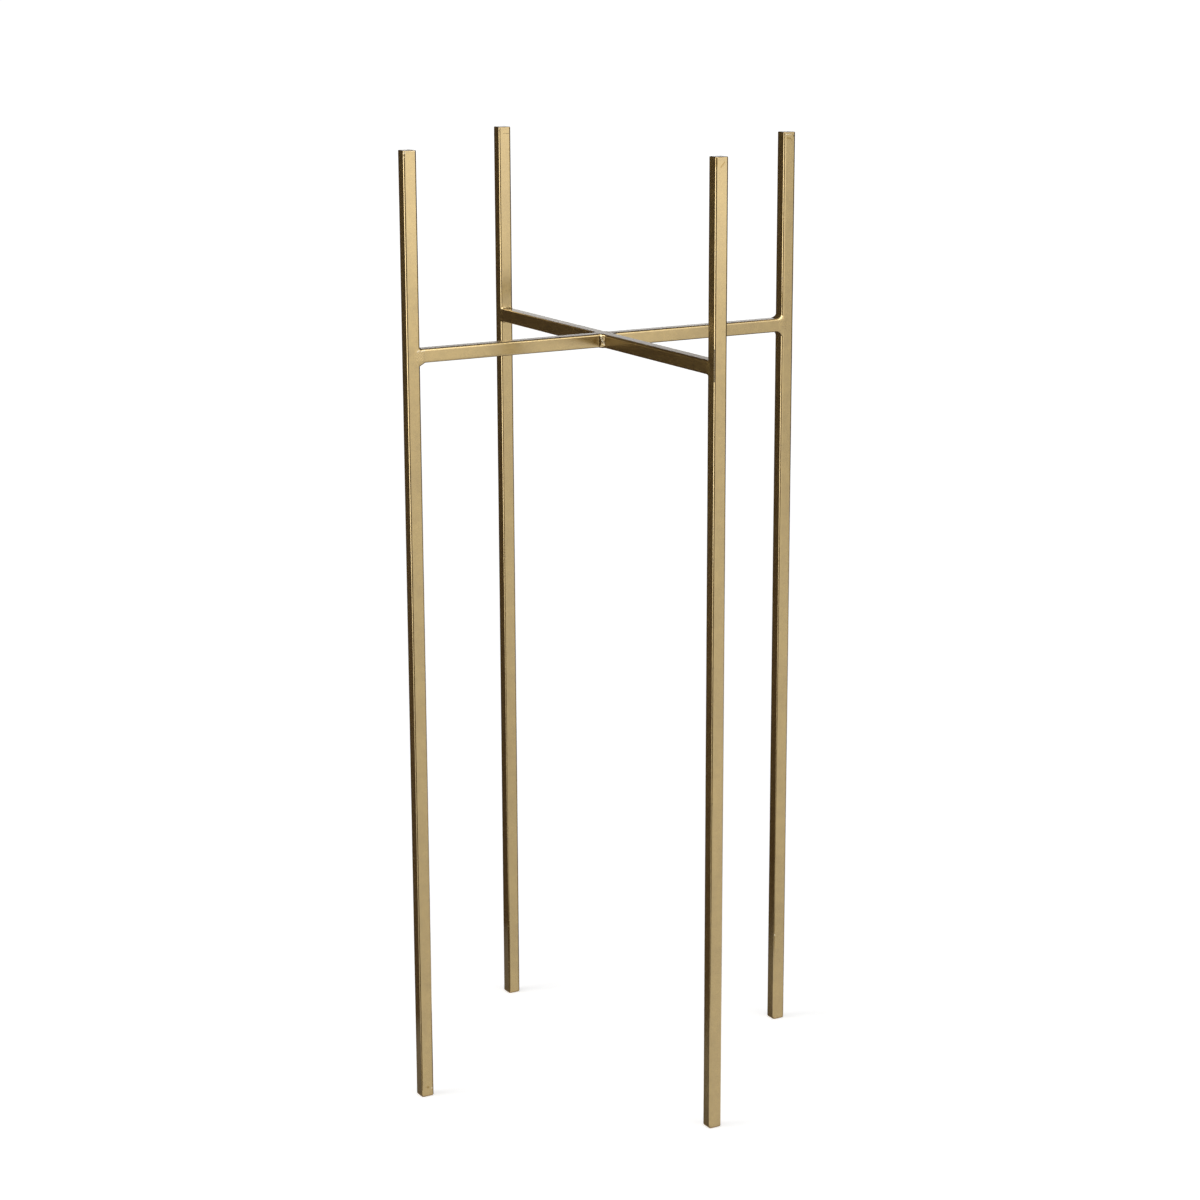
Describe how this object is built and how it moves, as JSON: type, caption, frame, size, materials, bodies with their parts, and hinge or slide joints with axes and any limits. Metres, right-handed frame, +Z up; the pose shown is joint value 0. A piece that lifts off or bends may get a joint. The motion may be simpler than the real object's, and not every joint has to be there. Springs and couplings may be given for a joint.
{
  "type": "plant stand",
  "caption": "Tall slender stand of square steel tube: upright posts joined by a flat welded cross that carries a plant pot between them.",
  "frame": {"origin": "on the floor, midway between the posts, straight under the middle of the cross", "axes": "+Z up, +X from the centre to the right-hand post along a short crossbar, +Y to the back post along the long crossbar"},
  "size_m": [0.322, 0.322, 0.7],
  "materials": {
    "tube_paint": "satin metallic gold paint on square steel tube",
    "plate_paint": "satin metallic gold paint on end plates that were welded on and ground",
    "weld_paint": "metallic gold paint over dressed weld, a little rougher than the tube"
  },
  "bodies": {
    "root": {"post_left": "tube_paint", "post_right": "tube_paint", "post_front": "tube_paint", "post_back": "tube_paint", "crossbar_long": "tube_paint", "crossbar_left": "tube_paint", "crossbar_right": "tube_paint", "top_plate_left": "plate_paint", "top_plate_right": "plate_paint", "top_plate_front": "plate_paint", "top_plate_back": "plate_paint", "foot_plate_left": "plate_paint", "foot_plate_right": "plate_paint", "foot_plate_front": "plate_paint", "foot_plate_back": "plate_paint", "upper_weld_left": "weld_paint", "upper_weld_right": "weld_paint", "upper_weld_front": "weld_paint", "upper_weld_back": "weld_paint", "lower_weld_left": "weld_paint", "lower_weld_right": "weld_paint", "lower_weld_front": "weld_paint", "lower_weld_back": "weld_paint", "centre_weld_front_left": "weld_paint", "centre_weld_front_right": "weld_paint", "centre_weld_back_left": "weld_paint", "centre_weld_back_right": "weld_paint"}
  },
  "joints": []
}
